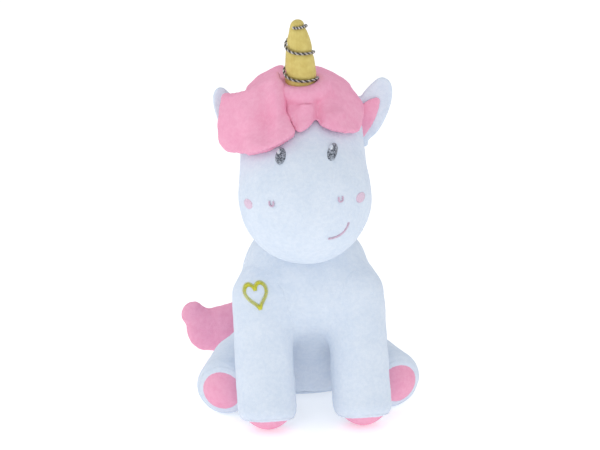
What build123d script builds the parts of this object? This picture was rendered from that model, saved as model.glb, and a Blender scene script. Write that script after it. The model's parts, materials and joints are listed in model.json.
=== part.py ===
from build123d import *
import os
from math import cos, radians, sin, sqrt

# Sitting plush unicorn, millimetres. +Z up, the toy faces -Y, its own left is +X.
# The origin is the middle of the flat seat, on the floor.

# Cloth and clearances
PILE = 2.4          # thickness of the short-pile plush cloth
THREAD = 1.0        # how far the satin stitch stands above the cloth
SATIN = 1.2         # thickness of the gold horn cloth
GAP = 0.4           # running room between pieces that move against each other

# Torso: a pear that leans forward over the front legs
BELLY_R, BELLY_Y, BELLY_Z = 55.0, 2.0, 46.0
CHEST_R, CHEST_Y, CHEST_Z = 40.0, -40.0, 99.0
SEAT_T = 2.6

# Neck ball between torso and head
NECK_Y, NECK_Z, NECK_R = -42.0, 132.0, 30.0

# Head, in its own frame with the neck ball as origin
HEAD_TURN, HEAD_TILT = -7.0, -3.5
SKULL_R, SKULL_Y, SKULL_Z = 45.5, -6.0, 84.0
MUZZLE_R, MUZZLE_Y, MUZZLE_Z = 47.5, -42.0, 48.0
NAPE_R0, NAPE_R1, NAPE_Z0, NAPE_Z1 = 32.5, 36.0, 8.0, 62.0

# Face embroidery: distance from the middle, height, size
EYE_MIDDLE, EYE_X, EYE_Z, EYE_W, EYE_H = 3.5, 18.4, 81.4, 8.2, 11.4
GLINT_R, GLINT_DX, GLINT_DZ = 1.4, -1.0, 2.6
NOSTRIL_X, NOSTRIL_Z, NOSTRIL_R, NOSTRIL_LINE = 24.7, 50.0, 2.6, 1.3
CHEEK_X, CHEEK_Z, CHEEK_R = 40.0, 48.0, 4.0
MOUTH_LINE = 1.6
MOUTH_POINTS = ((15.5, 22.4), (24.3, 24.0), (30.4, 32.0))

# Ears
EAR_X0, EAR_Z0, EAR_X1, EAR_Z1 = 46.6, 76.0, 43.2, 107.0
EAR_Y, EAR_T, EAR_ROOT_R, LINING_T = -6.0, 4.4, 3.0, 2.0
EAR_OUTLINE = ((46.2, 78.0), (51.5, 79.5), (58.5, 86.0), (65.5, 98.0), (68.8, 109.0),
               (66.8, 119.5), (61.5, 122.0), (54.0, 118.0), (46.0, 110.0), (43.4, 105.0))
LINING_OUTLINE = ((51.5, 84.0), (57.0, 92.0), (62.0, 103.0), (62.5, 112.0), (56.0, 110.5), (51.0, 105.0))

# Horn
HORN_X, HORN_Y, HORN_Z, HORN_LEAN, HORN_R = 2.5, -29.5, 118.0, 14.0, 13.0
HORN_LENGTH, HORN_HOLE_R = 60.0, 21.0
HORN_WAIST = ((20.0, 11.9), (32.0, 10.4), (44.0, 8.0), (53.0, 5.2))
CORD_R, CORD_TURNS, CORD_START, CORD_RISE, CORD_STEPS = 0.9, 2.25, 13.0, 18.0, 12

# Forelock and mane
MANE_T, MANE_GAP, UNDER_T = 6.0, 0.3, 3.0
FORELOCK_EDGE = ((-9.0, 150.0), (-9.2, 112.7), (-3.6, 101.0), (-0.2, 99.0), (8.8, 104.4), (12.5, 107.4),
                 (14.5, 102.0), (21.4, 98.6), (32.2, 94.6), (41.9, 92.2), (47.0, 104.0), (52.0, 150.0))
UNDER_EDGE = ((-9.6, 150.0), (-9.8, 112.7), (-4.2, 101.0), (-4.0, 96.5), (-22.8, 87.5),
              (-38.1, 82.0), (-43.0, 86.0), (-43.0, 112.0), (-34.0, 150.0))
FLAP_EDGE = ((-10.0, 140.0), (-10.2, 112.7), (-4.6, 101.0), (-4.4, 98.6), (-22.3, 90.2), (-37.2, 85.0),
             (-53.2, 82.0), (-58.9, 86.5), (-59.7, 99.2), (-55.8, 119.7), (-37.0, 125.5), (-26.3, 131.0))
FLAP_T = 4.5
VEIL_X, VEIL_Y, VEIL_Z, VEIL_R, VEIL_FLAT = -6.0, -8.0, 88.0, 61.0, 0.82
EAR_CORNER_X = 38.0
MANE_W, MANE_Y, MANE_END_Z = 26.0, 5.0, 44.0

# Tail: balls (distance from the root, height above it, radius) of a flattened crescent
TAIL_ROOT_X, TAIL_ROOT_Y, TAIL_ROOT_Z = -10.0, 60.0, 42.0
TAIL_SWING, TAIL_FLAT, TAIL_FILL_FLAT = 10.0, 0.4, 0.3
TAIL_BALLS = ((0.0, 0.0, 9.0), (-22.0, -2.0, 16.0), (-46.0, -5.0, 22.0), (-63.0, -7.0, 18.0), (-75.0, 9.0, 10.0))

# Front legs: shoulder ball, foot ball, sole
FORE_X, FORE_Y, FORE_Z = 36.0, -64.0, 97.0
FORE_FOOT_X, FORE_FOOT_Y, FORE_FOOT_Z = 36.0, -90.5, 5.9
FORE_R, FORE_FOOT_R, FORE_PAD_R = 23.0, 21.6, 17.5
FORE_SWING = 60

# Hind legs
HIND_X, HIND_Y, HIND_Z = 50.0, -8.0, 25.0
HIND_FOOT_X, HIND_FOOT_Y, HIND_FOOT_Z = 69.0, -61.0, 21.6
HIND_R, HIND_FOOT_R, HIND_PAD_R = 25.0, 21.5, 16.4
HIND_SWING = 20
SWING_REACH = 90.0    # longer than any leg
FOOT_RIM, SOLE_DOME = 8.0, 4.5

# Heart outline on the toy's right foreleg
HEART_X, HEART_Z, HEART_SIZE, HEART_INNER, HEART_TILT = -45.0, 101.5, 9.4, 0.72, -20.0

# Frames
neck = Vector(0, NECK_Y, NECK_Z)
head_x = Vector(1, 0, 0).rotate(Axis.Y, HEAD_TILT).rotate(Axis.Z, HEAD_TURN)
head_y = Vector(0, 1, 0).rotate(Axis.Z, HEAD_TURN)
head_z = Vector(0, 0, 1).rotate(Axis.Y, HEAD_TILT).rotate(Axis.Z, HEAD_TURN)
head_level = Plane(origin=neck, x_dir=head_x, z_dir=head_z)
face = Plane(origin=neck + head_y * MUZZLE_Y, x_dir=head_x, z_dir=-head_y)


def in_head(x, y, z):
    """A point given in the head's own frame."""
    return neck + head_x * x + head_y * y + head_z * z


def spindle(start, end, start_r, end_r, side=Vector(1, 0, 0)):
    """Two balls and the cone that is tangent to both."""
    along = end - start
    plane = Plane(origin=start, x_dir=along, z_dir=side - along * (side.dot(along) / along.dot(along)))
    with BuildPart() as shape:
        with BuildSketch(plane):
            Circle(start_r)
            with Locations((along.length, 0)):
                Circle(end_r)
            make_hull()
            with Locations((0, -4 * start_r)):
                Rectangle(8 * (along.length + start_r), 8 * start_r, mode=Mode.SUBTRACT)
        revolve(axis=Axis(start, along))
    return shape.part


def leg_plane(joint, foot):
    """Sketch plane with X running down the leg."""
    return Plane(origin=joint, x_dir=foot - joint, z_dir=(foot - joint).cross(Vector(0, 0, 1)).cross(foot - joint))


def limb(joint, foot, joint_r, foot_r, pad_r):
    """Leg: ball at the joint, a slight taper, a rounded rim around the sole."""
    length = (foot - joint).length
    plane = leg_plane(joint, foot)
    with BuildPart() as shape:
        with BuildSketch(plane):
            with BuildLine():
                ThreePointArc((-joint_r, 0), (-joint_r * cos(radians(45)), joint_r * sin(radians(45))), (0, joint_r))
                Line((0, joint_r), (length - FOOT_RIM, foot_r))
                EllipticalCenterArc((length - FOOT_RIM, pad_r), FOOT_RIM, foot_r - pad_r, start_angle=0, arc_size=90)
                Line((length, pad_r), (length, 0))
                Line((length, 0), (-joint_r, 0))
            make_face()
        revolve(axis=Axis(joint, foot - joint))
    return shape.part


def sole_cap(joint, foot, pad_r):
    """Slightly domed round sole."""
    length = (foot - joint).length
    with BuildPart() as shape:
        with BuildSketch(leg_plane(joint, foot)):
            with BuildLine():
                RadiusArc((length, pad_r), (length + SOLE_DOME, 0), (pad_r**2 + SOLE_DOME**2) / (2 * SOLE_DOME))
                Line((length + SOLE_DOME, 0), (length, 0))
                Line((length, 0), (length, pad_r))
            make_face()
        revolve(axis=Axis(joint, foot - joint))
    return shape.part


shoulder = Vector(FORE_X, FORE_Y, FORE_Z)
fore_foot = Vector(FORE_FOOT_X, FORE_FOOT_Y, FORE_FOOT_Z)
hip = Vector(HIND_X, HIND_Y, HIND_Z)
hind_foot = Vector(HIND_FOOT_X, HIND_FOOT_Y, HIND_FOOT_Z)

# Room that the torso leaves for each leg over its whole travel: the leg at both ends and the sector between
fore_down, fore_up = fore_foot - shoulder, (fore_foot - shoulder).rotate(Axis.X, -FORE_SWING)
hind_in, hind_out = hind_foot - hip, (hind_foot - hip).rotate(Axis.Z, HIND_SWING)


def swing_sector(joint, first, last, plane, half_width):
    """Slab between the two ends of a leg's travel."""
    first_point = plane.to_local_coords(joint + first.normalized() * SWING_REACH)
    last_point = plane.to_local_coords(joint + last.normalized() * SWING_REACH)
    with BuildPart() as shape:
        with BuildSketch(plane):
            with BuildLine():
                Line((0, 0), (first_point.X, first_point.Y))
                ThreePointArc((first_point.X, first_point.Y),
                              tuple((first_point + last_point).normalized() * SWING_REACH)[:2],
                              (last_point.X, last_point.Y))
                Line((last_point.X, last_point.Y), (0, 0))
            make_face()
        extrude(amount=half_width, both=True)
    return shape.part


# The three shapes of one leg differ by a hair, so that no two surfaces coincide
REST, END, BETWEEN = GAP, 1.1 * GAP, 0.9 * GAP
leg_rooms = [
    limb(shoulder, fore_foot, FORE_R + REST, FORE_FOOT_R + REST, FORE_PAD_R + REST),
    limb(shoulder, shoulder + fore_up, FORE_R + END, FORE_FOOT_R + END, FORE_PAD_R + END),
    swing_sector(shoulder, fore_down, fore_up, Plane(origin=shoulder, x_dir=(0, 1, 0), z_dir=(1, 0, 0)),
                 FORE_R + BETWEEN),
    limb(hip, hind_foot, HIND_R + REST, HIND_FOOT_R + REST, HIND_PAD_R + REST),
    limb(hip, hip + hind_out, HIND_R + END, HIND_FOOT_R + END, HIND_PAD_R + END),
    swing_sector(hip, hind_in, hind_out, Plane(origin=hip, x_dir=(1, 0, 0), z_dir=(0, 0, 1)), HIND_R + BETWEEN),
]

tail_root = Vector(TAIL_ROOT_X, TAIL_ROOT_Y, TAIL_ROOT_Z)


def clear_torso(part):
    """The torso solid less the room for the neck ball and the four legs."""
    with BuildPart() as shape:
        add(part)
        with Locations(neck):
            Sphere(NECK_R + GAP, mode=Mode.SUBTRACT)
        for room in leg_rooms:
            add(room, mode=Mode.SUBTRACT)
            add(room.mirror(Plane.YZ), mode=Mode.SUBTRACT)
    return shape.part


# ---- Torso
belly, chest = Vector(0, BELLY_Y, BELLY_Z), Vector(0, CHEST_Y, CHEST_Z)
torso_outer = clear_torso(spindle(belly, chest, BELLY_R, CHEST_R))
torso_inner = clear_torso(spindle(belly, chest, BELLY_R - PILE, CHEST_R - PILE))
seat_level = Plane.XY.offset(SEAT_T)

with BuildPart() as seat_panel:
    with Locations((0, BELLY_Y, SEAT_T / 2)):
        Cone(sqrt(BELLY_R**2 - BELLY_Z**2), sqrt(BELLY_R**2 - (BELLY_Z - SEAT_T)**2), SEAT_T)

with BuildPart() as body_filling:
    add(torso_inner)
    split(bisect_by=seat_level, keep=Keep.TOP)

with BuildPart() as body_cover:
    add(torso_outer)
    add(torso_inner, mode=Mode.SUBTRACT)
    split(bisect_by=seat_level, keep=Keep.TOP)

with BuildPart() as body_panel_left:
    add(body_cover.part)
    split(bisect_by=Plane.YZ, keep=Keep.TOP)

with BuildPart() as body_panel_right:
    add(body_cover.part)
    split(bisect_by=Plane.YZ, keep=Keep.BOTTOM)

with BuildPart() as neck_filling:
    with Locations(neck):
        Sphere(NECK_R)

# ---- Head
skull, muzzle = in_head(0, SKULL_Y, SKULL_Z), in_head(0, MUZZLE_Y, MUZZLE_Z)


def head_shape(grow):
    """Skull and muzzle with a short nape that takes the neck ball."""
    with BuildPart() as shape:
        add(spindle(skull, muzzle, SKULL_R + grow, MUZZLE_R + grow, head_x))
        with BuildSketch(Plane(origin=in_head(0, SKULL_Y, NAPE_Z0), x_dir=head_x, z_dir=head_z)):
            Circle(NAPE_R0 + grow)
        with BuildSketch(Plane(origin=in_head(0, SKULL_Y, NAPE_Z1), x_dir=head_x, z_dir=head_z)):
            Circle(NAPE_R1 + grow)
        loft()
    return shape.part


head_outer = head_shape(0)
head_inner = head_shape(-PILE)
stitch_outer = spindle(skull, muzzle, SKULL_R + THREAD, MUZZLE_R + THREAD, head_x)
ear_root_line = (in_head(EAR_X0, EAR_Y, EAR_Z0), in_head(EAR_X1, EAR_Y, EAR_Z1))
horn_pivot = in_head(HORN_X, HORN_Y, HORN_Z)
horn_way = (head_z * cos(radians(HORN_LEAN)) - head_y * sin(radians(HORN_LEAN))).normalized()


def rod(start, end, radius):
    """Round rod with ball ends."""
    return spindle(start, end, radius, radius, (end - start).cross(head_y))


horn_hole = spindle(horn_pivot, horn_pivot + horn_way * HORN_LENGTH, HORN_R + GAP, HORN_HOLE_R, head_x)

with BuildPart() as ear_room:
    add(rod(*ear_root_line, EAR_ROOT_R + GAP))
    mirror(about=Plane(origin=neck, x_dir=head_y, z_dir=head_x))

with BuildPart() as head_room:
    add(ear_room.part)
    with Locations(neck):
        Sphere(NECK_R + GAP)
    add(horn_hole)

coronal = Plane(origin=in_head(0, SKULL_Y, 0), x_dir=head_x, z_dir=-head_y)

with BuildPart() as head_filling:
    add(head_inner)
    add(head_room.part, mode=Mode.SUBTRACT)

with BuildPart() as head_cover:
    add(head_outer)
    add(head_inner, mode=Mode.SUBTRACT)
    add(head_room.part, mode=Mode.SUBTRACT)

with BuildPart() as head_front:
    add(head_cover.part)
    split(bisect_by=coronal, keep=Keep.TOP)

with BuildPart() as head_back:
    add(head_cover.part)
    split(bisect_by=coronal, keep=Keep.BOTTOM)

# ---- Embroidery on the face: a thin layer of thread that follows the cloth
with BuildPart() as thread_layer:
    add(stitch_outer)
    add(spindle(skull, muzzle, SKULL_R, MUZZLE_R, head_x), mode=Mode.SUBTRACT)
    split(bisect_by=coronal, keep=Keep.TOP)

reach = 2 * MUZZLE_R - MUZZLE_Y

with BuildPart() as glint_left:
    with BuildSketch(face):
        with Locations((EYE_MIDDLE + EYE_X + GLINT_DX, EYE_Z + GLINT_DZ)):
            Circle(GLINT_R)
    extrude(amount=reach)
    add(thread_layer.part, mode=Mode.INTERSECT)

with BuildPart() as glint_right:
    with BuildSketch(face):
        with Locations((EYE_MIDDLE - EYE_X + GLINT_DX, EYE_Z + GLINT_DZ)):
            Circle(GLINT_R)
    extrude(amount=reach)
    add(thread_layer.part, mode=Mode.INTERSECT)

with BuildPart() as eye_left:
    with BuildSketch(face):
        with Locations((EYE_MIDDLE + EYE_X, EYE_Z)):
            Ellipse(EYE_W / 2, EYE_H / 2)
        with Locations((EYE_MIDDLE + EYE_X + GLINT_DX, EYE_Z + GLINT_DZ)):
            Circle(GLINT_R, mode=Mode.SUBTRACT)
    extrude(amount=reach)
    add(thread_layer.part, mode=Mode.INTERSECT)

with BuildPart() as eye_right:
    with BuildSketch(face):
        with Locations((EYE_MIDDLE - EYE_X, EYE_Z)):
            Ellipse(EYE_W / 2, EYE_H / 2)
        with Locations((EYE_MIDDLE - EYE_X + GLINT_DX, EYE_Z + GLINT_DZ)):
            Circle(GLINT_R, mode=Mode.SUBTRACT)
    extrude(amount=reach)
    add(thread_layer.part, mode=Mode.INTERSECT)

with BuildPart() as nostril_left:
    with BuildSketch(face):
        with Locations((NOSTRIL_X, NOSTRIL_Z)):
            Circle(NOSTRIL_R + NOSTRIL_LINE / 2)
            Circle(NOSTRIL_R - NOSTRIL_LINE / 2, mode=Mode.SUBTRACT)
        with Locations((NOSTRIL_X, NOSTRIL_Z + 2 * NOSTRIL_R)):
            Rectangle(4 * NOSTRIL_R, 4 * NOSTRIL_R, mode=Mode.SUBTRACT)
    extrude(amount=reach)
    add(thread_layer.part, mode=Mode.INTERSECT)

sagittal = Plane(origin=neck, x_dir=head_y, z_dir=head_x)
with BuildPart() as nostril_right:
    mirror(nostril_left.part, about=sagittal)

with BuildPart() as mouth_stitch:
    with BuildSketch(face):
        with BuildLine() as smile:
            ThreePointArc(*MOUTH_POINTS)
        trace(line_width=MOUTH_LINE)
    extrude(amount=reach)
    add(thread_layer.part, mode=Mode.INTERSECT)

with BuildPart() as cheek_left:
    with BuildSketch(face):
        with Locations((CHEEK_X, CHEEK_Z)):
            Circle(CHEEK_R)
    extrude(amount=reach)
    add(thread_layer.part, mode=Mode.INTERSECT)

with BuildPart() as cheek_right:
    mirror(cheek_left.part, about=sagittal)

# ---- Ears: a white leaf with a round root in the head seam and a pink lining on its front
ear_plane = Plane(origin=in_head(0, EAR_Y, 0), x_dir=head_x, z_dir=-head_y)
lining_plane = ear_plane.offset(EAR_T / 2)

with BuildPart() as ear_back_left:
    with BuildSketch(ear_plane.offset(-EAR_T / 2)):
        with BuildLine():
            Spline(*EAR_OUTLINE, periodic=True)
        make_face()
    extrude(amount=EAR_T)
    add(head_outer, mode=Mode.SUBTRACT)
    add(ear_room.part, mode=Mode.SUBTRACT)
    add(rod(*ear_root_line, EAR_ROOT_R))
    with BuildSketch(ear_plane.offset(-EAR_T / 2)):
        with BuildLine():
            Polyline((EAR_X0, EAR_Z0), (EAR_X0 + 2 * EAR_ROOT_R, EAR_Z0 + 2 * EAR_ROOT_R),
                     (EAR_X1 + 2 * EAR_ROOT_R, EAR_Z1), (EAR_X1, EAR_Z1), close=True)
        make_face()
    extrude(amount=EAR_T)

with BuildPart() as ear_lining_left:
    with BuildSketch(lining_plane):
        with BuildLine():
            Spline(*LINING_OUTLINE, periodic=True)
        make_face()
    extrude(amount=LINING_T)

with BuildPart() as ear_back_right:
    mirror(ear_back_left.part, about=sagittal)

with BuildPart() as ear_lining_right:
    mirror(ear_lining_left.part, about=sagittal)

# ---- Horn: a stuffed cone with a ball end that sits in the crown, and a cord wound round it
horn_plane = Plane(origin=horn_pivot, x_dir=horn_way, z_dir=head_x)


def horn_cone(radius, length, shrink):
    """Horn profile turned about its own axis."""
    with BuildPart() as shape:
        with BuildSketch(horn_plane):
            with BuildLine():
                ThreePointArc((-radius, 0), (-radius * cos(radians(45)), radius * sin(radians(45))), (0, radius))
                Spline((0, radius), *[(s, r - shrink) for s, r in HORN_WAIST], (length, 0),
                       tangents=((1, 0), (0, -1)))
                Line((length, 0), (-radius, 0))
            make_face()
        revolve(axis=Axis(horn_pivot, horn_way))
    return shape.part


with BuildPart() as horn_filling:
    add(horn_cone(HORN_R - SATIN, HORN_LENGTH - SATIN, SATIN))

with BuildPart() as horn_cover:
    add(horn_cone(HORN_R, HORN_LENGTH, 0))
    add(horn_filling.part, mode=Mode.SUBTRACT)


def horn_radius(height):
    """Radius of the horn cloth at a height along its axis."""
    levels = ((0.0, HORN_R),) + HORN_WAIST
    for (low, low_r), (high, high_r) in zip(levels, levels[1:]):
        if height <= high:
            return low_r + (high_r - low_r) * (height - low) / (high - low)
    return levels[-1][1]


def cord_point(turn):
    """A point on the cord's middle line, a left-handed climb from the front."""
    height = CORD_START + CORD_RISE * turn
    out = horn_radius(height) + 1.6 * CORD_R
    angle = radians(-90 - 360 * turn)
    front = horn_way.cross(head_x)
    return horn_pivot + horn_way * height + (head_x * cos(angle) + front * sin(angle)) * out


with BuildPart() as horn_cord:
    with BuildLine() as winding:
        Spline(*[cord_point(step / CORD_STEPS) for step in range(int(CORD_TURNS * CORD_STEPS) + 1)])
    with BuildSketch(Plane(origin=winding.line @ 0, z_dir=winding.line % 0)):
        Circle(CORD_R)
    sweep(is_frenet=True)
    add(horn_cover.part, mode=Mode.SUBTRACT)

# ---- Forelock and mane: thick plush strips sewn over the crown
mane_seam = Plane(origin=in_head(0, MANE_Y, 0), x_dir=head_x, z_dir=-head_y)


def crown_layer(inner, outer):
    """Layer that follows the head, given by its two distances from the cloth."""
    with BuildPart() as shape:
        add(spindle(skull, muzzle, SKULL_R + outer, MUZZLE_R + outer, head_x))
        add(spindle(skull, muzzle, SKULL_R + inner, MUZZLE_R + inner, head_x), mode=Mode.SUBTRACT)
    return shape.part


def front_prism(edge):
    """Everything in front of the mane seam inside an outline."""
    with BuildPart() as shape:
        with BuildSketch(mane_seam):
            with BuildLine():
                Polyline(*edge, close=True)
            make_face()
        extrude(amount=reach)
    return shape.part


# The mane strips stop short of the ears
with BuildPart() as ear_clearance:
    with BuildSketch(head_level):
        for side in (-1, 1):
            with Locations((side * (EAR_CORNER_X + SKULL_R / 2), EAR_Y - EAR_T / 2 - LINING_T - GAP + SKULL_R)):
                Rectangle(SKULL_R, 2 * SKULL_R)
    extrude(amount=2 * SKULL_Z)

with BuildPart() as forelock:
    add(front_prism(FORELOCK_EDGE))
    add(crown_layer(MANE_GAP, MANE_GAP + MANE_T), mode=Mode.INTERSECT)
    add(horn_hole, mode=Mode.SUBTRACT)
    add(ear_room.part, mode=Mode.SUBTRACT)
    add(ear_clearance.part, mode=Mode.SUBTRACT)

with BuildPart() as forelock_underlayer:
    add(front_prism(UNDER_EDGE))
    add(crown_layer(MANE_GAP, MANE_GAP + UNDER_T), mode=Mode.INTERSECT)
    add(horn_hole, mode=Mode.SUBTRACT)
    add(ear_room.part, mode=Mode.SUBTRACT)
    add(ear_clearance.part, mode=Mode.SUBTRACT)

flap_start = 2 * MANE_GAP + UNDER_T
with BuildPart() as veil:
    Sphere(VEIL_R)
    Sphere(VEIL_R - FLAP_T, mode=Mode.SUBTRACT)
    scale(by=(1, VEIL_FLAT, 1))
veil_layer = head_level.location * veil.part.translate((VEIL_X, VEIL_Y, VEIL_Z))

with BuildPart() as flap_layers:
    add(veil_layer)
    add(spindle(skull, muzzle, SKULL_R + flap_start, MUZZLE_R + flap_start, head_x), mode=Mode.SUBTRACT)
    add(crown_layer(flap_start, flap_start + FLAP_T))

with BuildPart() as forelock_flap:
    add(front_prism(FLAP_EDGE))
    add(flap_layers.part, mode=Mode.INTERSECT)
    add(horn_hole, mode=Mode.SUBTRACT)
    add(ear_room.part, mode=Mode.SUBTRACT)
    add(ear_clearance.part, mode=Mode.SUBTRACT)

with BuildPart() as mane:
    with BuildSketch(Plane(origin=in_head(0, 0, MANE_END_Z), x_dir=head_x, z_dir=head_z)):
        with Locations((0, MANE_Y + GAP + SKULL_R)):
            Rectangle(MANE_W, 2 * SKULL_R)
    extrude(amount=2 * SKULL_R)
    add(crown_layer(MANE_GAP, MANE_GAP + MANE_T), mode=Mode.INTERSECT)
    add(head_outer, mode=Mode.SUBTRACT)

# ---- Tail: a flat stuffed crescent that curls round the toy's right hip


def tail_shape(shrink, flat):
    """Chain of balls, flattened front to back."""
    with BuildPart() as shape:
        for (start, low, start_r), (end, high, end_r) in zip(TAIL_BALLS, TAIL_BALLS[1:]):
            add(spindle(Vector(start, 0, low), Vector(end, 0, high), start_r - shrink, end_r - shrink, Vector(0, 1, 0)))
        scale(by=(1, flat, 1))
    return shape.part.rotate(Axis.Z, TAIL_SWING).translate(tail_root)


with BuildPart() as tail_filling:
    add(tail_shape(PILE, TAIL_FILL_FLAT))

with BuildPart() as tail_cover:
    add(tail_shape(0, TAIL_FLAT))
    add(tail_filling.part, mode=Mode.SUBTRACT)

# ---- Legs
with BuildPart() as front_leg_filling_left:
    add(limb(shoulder, fore_foot, FORE_R - PILE, FORE_FOOT_R - PILE, FORE_PAD_R - PILE))

with BuildPart() as front_leg_cover_left:
    add(limb(shoulder, fore_foot, FORE_R, FORE_FOOT_R, FORE_PAD_R))
    add(front_leg_filling_left.part, mode=Mode.SUBTRACT)

with BuildPart() as front_sole_left:
    add(sole_cap(shoulder, fore_foot, FORE_PAD_R))

with BuildPart() as hind_leg_filling_left:
    add(limb(hip, hind_foot, HIND_R - PILE, HIND_FOOT_R - PILE, HIND_PAD_R - PILE))

with BuildPart() as hind_leg_cover_left:
    add(limb(hip, hind_foot, HIND_R, HIND_FOOT_R, HIND_PAD_R))
    add(hind_leg_filling_left.part, mode=Mode.SUBTRACT)

with BuildPart() as hind_sole_left:
    add(sole_cap(hip, hind_foot, HIND_PAD_R))

with BuildPart() as front_leg_filling_right:
    mirror(front_leg_filling_left.part, about=Plane.YZ)

with BuildPart() as front_leg_cover_right:
    mirror(front_leg_cover_left.part, about=Plane.YZ)

with BuildPart() as front_sole_right:
    mirror(front_sole_left.part, about=Plane.YZ)

with BuildPart() as hind_leg_filling_right:
    mirror(hind_leg_filling_left.part, about=Plane.YZ)

with BuildPart() as hind_leg_cover_right:
    mirror(hind_leg_cover_left.part, about=Plane.YZ)

with BuildPart() as hind_sole_right:
    mirror(hind_sole_left.part, about=Plane.YZ)

# ---- Heart outline stitched on the right foreleg
leg_thread = limb(shoulder, fore_foot, FORE_R + THREAD, FORE_FOOT_R + THREAD, FORE_PAD_R + THREAD)
leg_bare = limb(shoulder, fore_foot, FORE_R, FORE_FOOT_R, FORE_PAD_R)
heart_plane = Plane(origin=(HEART_X, FORE_Y, HEART_Z), x_dir=(cos(radians(HEART_TILT)), 0, sin(radians(HEART_TILT))),
                    z_dir=(0, -1, 0))


def heart_prism(size):
    """Heart-shaped prism, point down."""
    with BuildPart() as shape:
        with BuildSketch(heart_plane):
            with BuildLine():
                ThreePointArc((0, 0.45 * size), (0.55 * size, 0.85 * size), (0.85 * size, 0.15 * size))
                ThreePointArc((0.85 * size, 0.15 * size), (0.5 * size, -0.5 * size), (0, -size))
                ThreePointArc((0, -size), (-0.5 * size, -0.5 * size), (-0.85 * size, 0.15 * size))
                ThreePointArc((-0.85 * size, 0.15 * size), (-0.55 * size, 0.85 * size), (0, 0.45 * size))
            make_face()
        extrude(amount=reach)
    return shape.part


with BuildPart() as heart_stitch:
    add(heart_prism(HEART_SIZE))
    add(heart_prism(HEART_SIZE * HEART_INNER), mode=Mode.SUBTRACT)
    add(leg_thread.mirror(Plane.YZ), mode=Mode.INTERSECT)
    add(leg_bare.mirror(Plane.YZ), mode=Mode.SUBTRACT)

# ---- Export
PIECES = {
    "seat_panel": seat_panel,
    "body_panel_left": body_panel_left,
    "body_panel_right": body_panel_right,
    "body_filling": body_filling,
    "neck_filling": neck_filling,
    "head_front": head_front,
    "head_back": head_back,
    "head_filling": head_filling,
    "eye_left": eye_left,
    "eye_right": eye_right,
    "eye_glint_left": glint_left,
    "eye_glint_right": glint_right,
    "nostril_left": nostril_left,
    "nostril_right": nostril_right,
    "mouth_stitch": mouth_stitch,
    "cheek_left": cheek_left,
    "cheek_right": cheek_right,
    "ear_back_left": ear_back_left,
    "ear_lining_left": ear_lining_left,
    "ear_back_right": ear_back_right,
    "ear_lining_right": ear_lining_right,
    "horn_cover": horn_cover,
    "horn_filling": horn_filling,
    "horn_cord": horn_cord,
    "forelock": forelock,
    "forelock_underlayer": forelock_underlayer,
    "forelock_flap": forelock_flap,
    "mane": mane,
    "tail_cover": tail_cover,
    "tail_filling": tail_filling,
    "front_leg_cover_left": front_leg_cover_left,
    "front_leg_filling_left": front_leg_filling_left,
    "front_sole_left": front_sole_left,
    "front_leg_cover_right": front_leg_cover_right,
    "front_leg_filling_right": front_leg_filling_right,
    "front_sole_right": front_sole_right,
    "hind_leg_cover_left": hind_leg_cover_left,
    "hind_leg_filling_left": hind_leg_filling_left,
    "hind_sole_left": hind_sole_left,
    "hind_leg_cover_right": hind_leg_cover_right,
    "hind_leg_filling_right": hind_leg_filling_right,
    "hind_sole_right": hind_sole_right,
    "heart_stitch": heart_stitch,
}

os.makedirs("parts", exist_ok=True)
for node, piece in PIECES.items():
    piece.part.label = node
    export_step(piece.part, f"parts/{node}.step")
    print(node, len(piece.part.solids()), round(piece.part.volume))
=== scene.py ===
import json
from math import cos, pi, radians, sin

import bpy
import numpy as np
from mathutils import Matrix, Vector

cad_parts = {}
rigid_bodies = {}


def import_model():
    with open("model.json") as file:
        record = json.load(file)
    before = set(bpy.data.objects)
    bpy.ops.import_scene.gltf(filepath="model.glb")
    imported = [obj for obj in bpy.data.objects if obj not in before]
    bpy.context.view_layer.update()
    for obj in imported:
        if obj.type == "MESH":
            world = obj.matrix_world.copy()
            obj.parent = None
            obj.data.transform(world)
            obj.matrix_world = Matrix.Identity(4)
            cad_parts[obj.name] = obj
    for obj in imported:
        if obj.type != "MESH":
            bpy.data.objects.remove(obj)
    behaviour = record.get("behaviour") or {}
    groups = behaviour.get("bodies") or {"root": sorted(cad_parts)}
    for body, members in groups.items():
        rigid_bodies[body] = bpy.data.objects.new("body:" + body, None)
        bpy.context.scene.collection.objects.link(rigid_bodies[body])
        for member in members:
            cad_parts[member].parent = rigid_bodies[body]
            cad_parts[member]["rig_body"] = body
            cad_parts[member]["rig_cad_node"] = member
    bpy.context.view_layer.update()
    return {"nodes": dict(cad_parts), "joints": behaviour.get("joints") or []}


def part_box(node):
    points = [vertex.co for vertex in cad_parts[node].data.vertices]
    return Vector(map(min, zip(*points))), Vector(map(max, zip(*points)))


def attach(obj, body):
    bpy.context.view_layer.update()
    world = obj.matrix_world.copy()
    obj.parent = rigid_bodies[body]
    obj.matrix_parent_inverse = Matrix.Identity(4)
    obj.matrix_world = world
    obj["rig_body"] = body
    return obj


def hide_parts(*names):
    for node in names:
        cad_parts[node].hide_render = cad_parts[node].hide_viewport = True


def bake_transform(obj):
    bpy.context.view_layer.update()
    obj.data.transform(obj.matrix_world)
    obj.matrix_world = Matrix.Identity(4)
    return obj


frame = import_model()

bl_info = {
    "name": "Sitting plush unicorn",
    "version": (1, 0, 0),
    "blender": (4, 5, 0),
    "location": "3D View > Sidebar > Plush",
    "description": "Sews the plush skins, the mane, the horn and the embroidery of a sitting unicorn",
    "category": "Add Mesh",
}

MM = 0.001
AHEAD = np.array((0.0, -1.0, 0.0))
LEFT, UP = np.array((1.0, 0.0, 0.0)), np.array((0.0, 0.0, 1.0))


def linear(red, green, blue):
    """A dye's colour, from its 0 to 255 values to the linear ones that the shader takes."""
    shares = [value / 255 for value in (red, green, blue)]
    return [s / 12.92 if s <= 0.04045 else ((s + 0.055) / 1.055) ** 2.4 for s in shares]


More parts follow.
